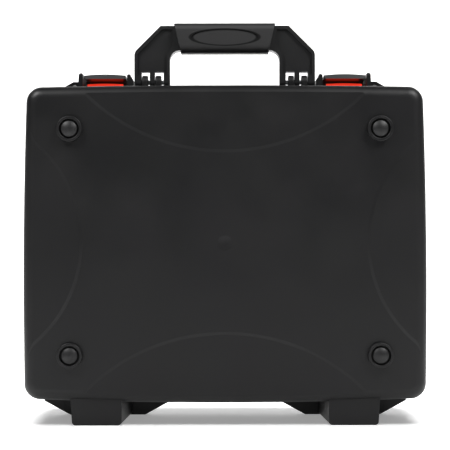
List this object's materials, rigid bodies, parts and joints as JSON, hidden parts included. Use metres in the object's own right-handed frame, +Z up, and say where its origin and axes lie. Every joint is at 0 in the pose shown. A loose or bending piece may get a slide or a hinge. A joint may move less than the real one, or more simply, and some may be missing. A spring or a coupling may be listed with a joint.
{
  "type": "hard carrying case",
  "caption": "Hard plastic carrying case with a hinged lid, two toggle latches, a folding handle and cut foam for a stage laser.",
  "frame": {"origin": "under the middle of the upright case, on the surface that it stands on", "axes": "+X across the case, +Y from the base's outer face towards the lid, +Z up from the hinge side to the handle"},
  "size_m": [0.4394, 0.173, 0.4324],
  "materials": {
    "black_case": "satin",
    "black_handle": "satin",
    "black_latch": "satin",
    "red_claw": "gloss",
    "grip_rubber": "matte",
    "foot_rubber": "matte",
    "gasket_rubber": "matte",
    "steel_pin": "satin",
    "grey_foam": "matte"
  },
  "bodies": {
    "base": {"base_shell": "black_case", "valve_cap": "black_handle", "valve_seal": "gasket_rubber", "valve_nut": "black_handle", "base_foam_pad": "grey_foam", "base_foam_frame": "grey_foam", "foot_plug_upper_left": "foot_rubber", "foot_plug_upper_right": "foot_rubber", "foot_plug_lower_left": "foot_rubber", "foot_plug_lower_right": "foot_rubber", "hinge_pin_left": "steel_pin", "hinge_pin_right": "steel_pin", "handle_pin_left": "steel_pin", "handle_pin_right": "steel_pin"},
    "handle": {"handle_frame": "black_handle", "handle_grip": "grip_rubber"},
    "lid": {"lid_shell": "black_case", "lid_gasket": "gasket_rubber", "lid_foam": "grey_foam", "latch_pin_left": "steel_pin", "latch_pin_right": "steel_pin"},
    "lever_left": {"latch_lever_left": "black_latch", "claw_pin_left": "steel_pin"},
    "lever_right": {"latch_lever_right": "black_latch", "claw_pin_right": "steel_pin"},
    "claw_left": {"latch_claw_left": "red_claw"},
    "claw_right": {"latch_claw_right": "red_claw"}
  },
  "joints": [
    {"name": "lid_hinge", "type": "hinge", "parent": "base", "child": "lid", "pos_m": [0, 0.0245, 0.0065], "axis": [-1, 0, 0], "range_deg": [0, 105]},
    {"name": "handle_fold", "type": "hinge", "parent": "base", "child": "handle", "pos_m": [0, 0.0085, 0.36745], "axis": [1, 0, 0], "range_deg": [0, 85]},
    {"name": "latch_lever_swing_left", "type": "hinge", "parent": "lid", "child": "lever_left", "pos_m": [0, 0.041, 0.36845], "axis": [-1, 0, 0], "range_deg": [0, 100]},
    {"name": "claw_swing_left", "type": "hinge", "parent": "lever_left", "child": "claw_left", "pos_m": [0, 0.029, 0.36585], "axis": [-1, 0, 0], "range_deg": [0, 10]},
    {"name": "latch_lever_swing_right", "type": "hinge", "parent": "lid", "child": "lever_right", "pos_m": [0, 0.041, 0.36845], "axis": [-1, 0, 0], "range_deg": [0, 100]},
    {"name": "claw_swing_right", "type": "hinge", "parent": "lever_right", "child": "claw_right", "pos_m": [0, 0.029, 0.36585], "axis": [-1, 0, 0], "range_deg": [0, 10]}
  ]
}
